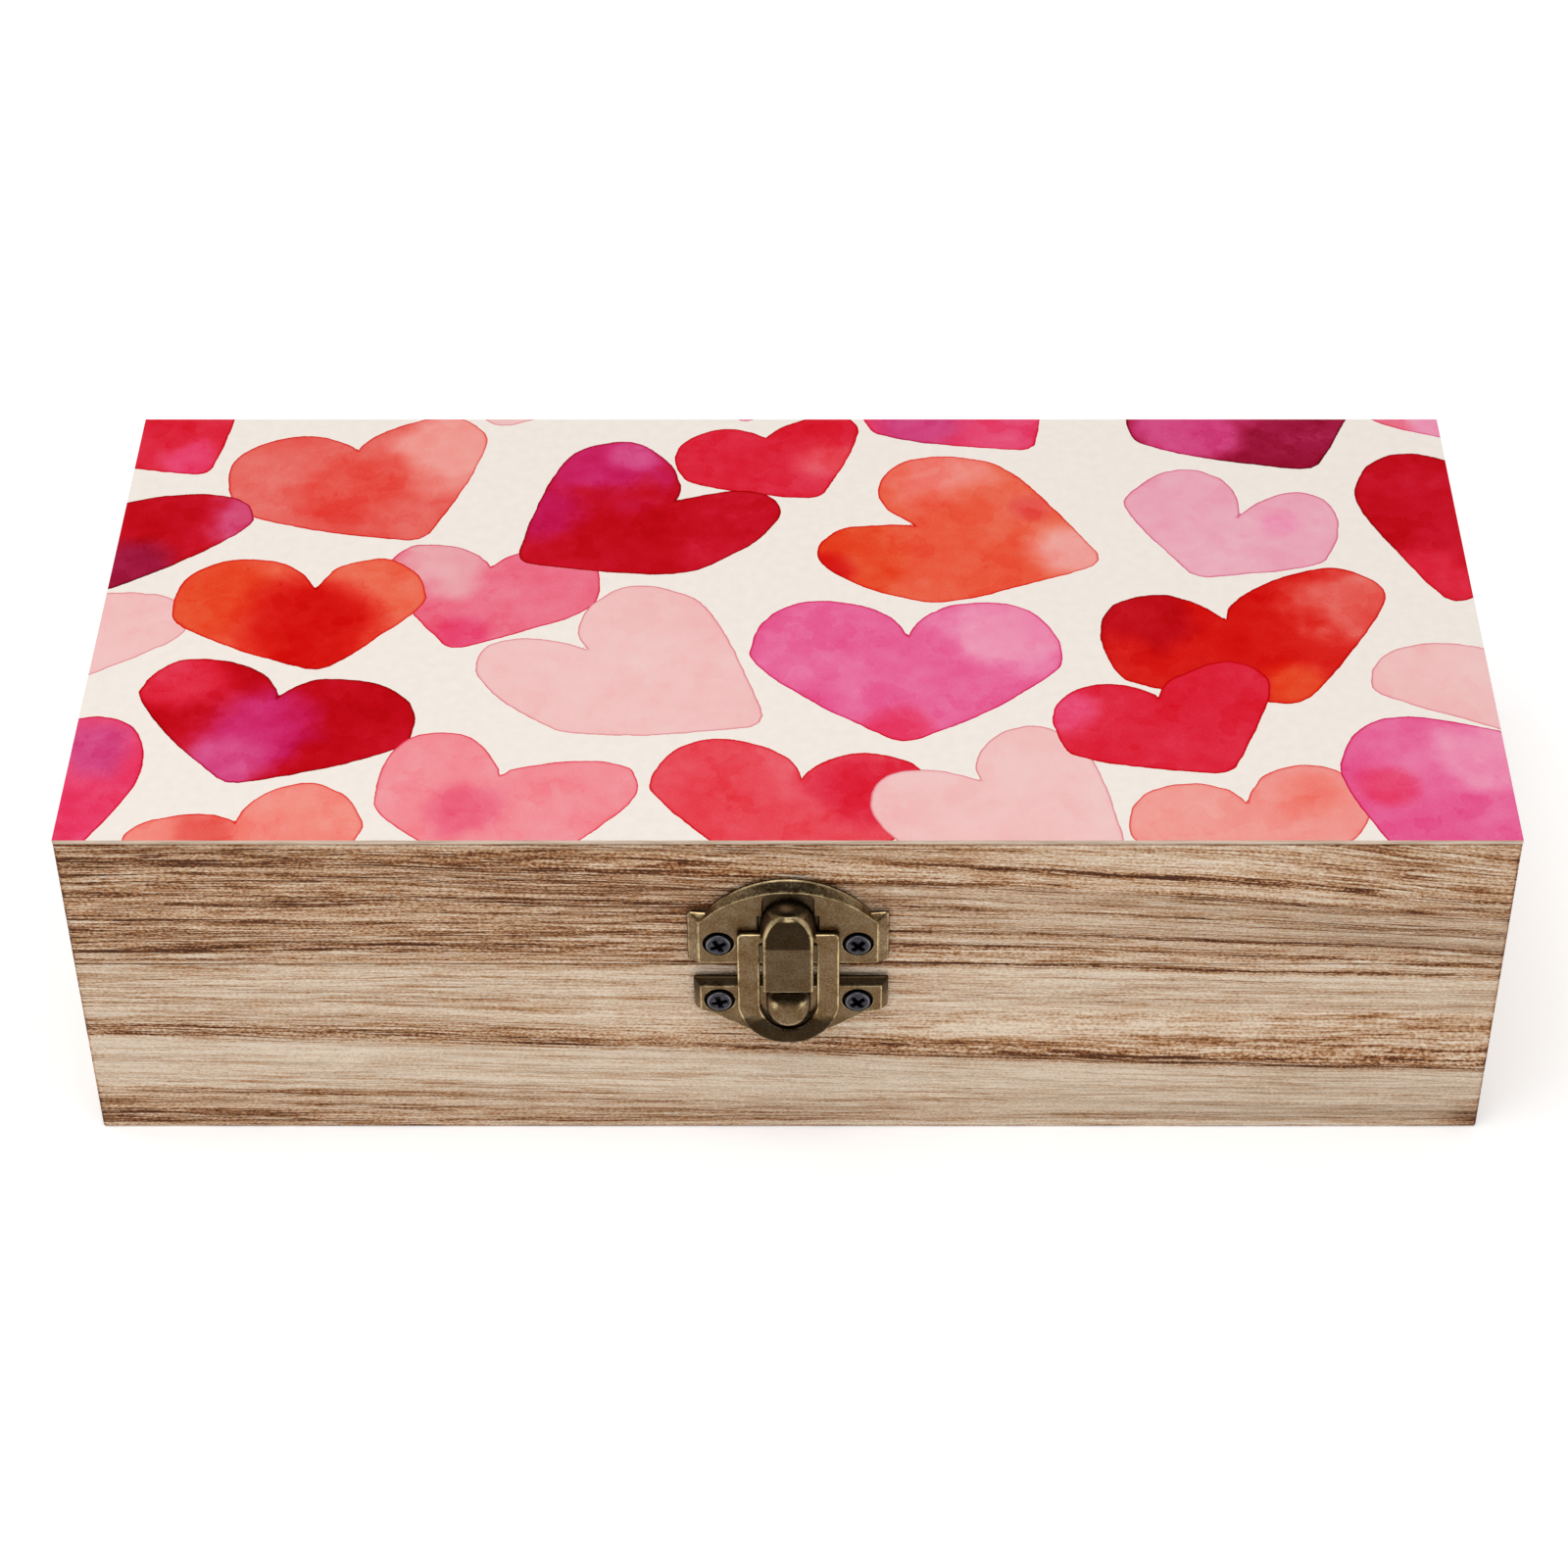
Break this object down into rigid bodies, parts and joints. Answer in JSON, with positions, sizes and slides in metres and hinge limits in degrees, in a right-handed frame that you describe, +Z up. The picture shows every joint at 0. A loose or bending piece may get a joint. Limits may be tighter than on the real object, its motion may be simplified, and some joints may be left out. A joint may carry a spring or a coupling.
{
  "type": "wooden storage box",
  "caption": "Small oblong wooden keepsake box with a hinged flat lid, a printed top sheet and a stamped ring latch at the front.",
  "frame": {"origin": "middle of the box's underside, on the surface it stands on", "axes": "+Z up through the lid, +X along the length to the right as seen from the latch, -Y towards the latch in front, +Y towards the hinges"},
  "size_m": [0.2, 0.1052, 0.0567],
  "materials": {
    "brushed_wood": "satin",
    "raw_wood": "matte",
    "printed_sheet": "satin",
    "antique_bronze": "antiqued, satin",
    "black_steel": "blackened"
  },
  "bodies": {
    "tray": {"tray_front": "brushed_wood", "tray_back": "brushed_wood", "tray_left": "brushed_wood", "tray_right": "brushed_wood", "tray_bottom": "raw_wood", "catch_plate": "antique_bronze", "catch_screw_left": "black_steel", "catch_screw_right": "black_steel", "hinge_left_tray_leaf": "antique_bronze", "hinge_right_tray_leaf": "antique_bronze", "hinge_left_pin": "black_steel", "hinge_right_pin": "black_steel", "hinge_left_tray_screw_1": "black_steel", "hinge_left_tray_screw_2": "black_steel", "hinge_right_tray_screw_1": "black_steel", "hinge_right_tray_screw_2": "black_steel"},
    "lid": {"lid_front": "brushed_wood", "lid_back": "brushed_wood", "lid_left": "brushed_wood", "lid_right": "brushed_wood", "lid_panel": "raw_wood", "lid_print": "printed_sheet", "latch_plate": "antique_bronze", "latch_screw_left": "black_steel", "latch_screw_right": "black_steel", "hinge_left_lid_leaf": "antique_bronze", "hinge_right_lid_leaf": "antique_bronze", "hinge_left_lid_screw_1": "black_steel", "hinge_left_lid_screw_2": "black_steel", "hinge_right_lid_screw_1": "black_steel", "hinge_right_lid_screw_2": "black_steel"},
    "latch_ring": {"latch_ring": "antique_bronze"}
  },
  "joints": [
    {"name": "lid_hinge", "type": "hinge", "parent": "tray", "child": "lid", "pos_m": [0, 0.0504, 0.03315], "axis": [-1, 0, 0], "range_deg": [0, 180]},
    {"name": "ring_pivot", "type": "hinge", "parent": "lid", "child": "latch_ring", "pos_m": [0, -0.05105, 0.041], "axis": [-1, 0, 0], "range_deg": [0, 150]}
  ]
}
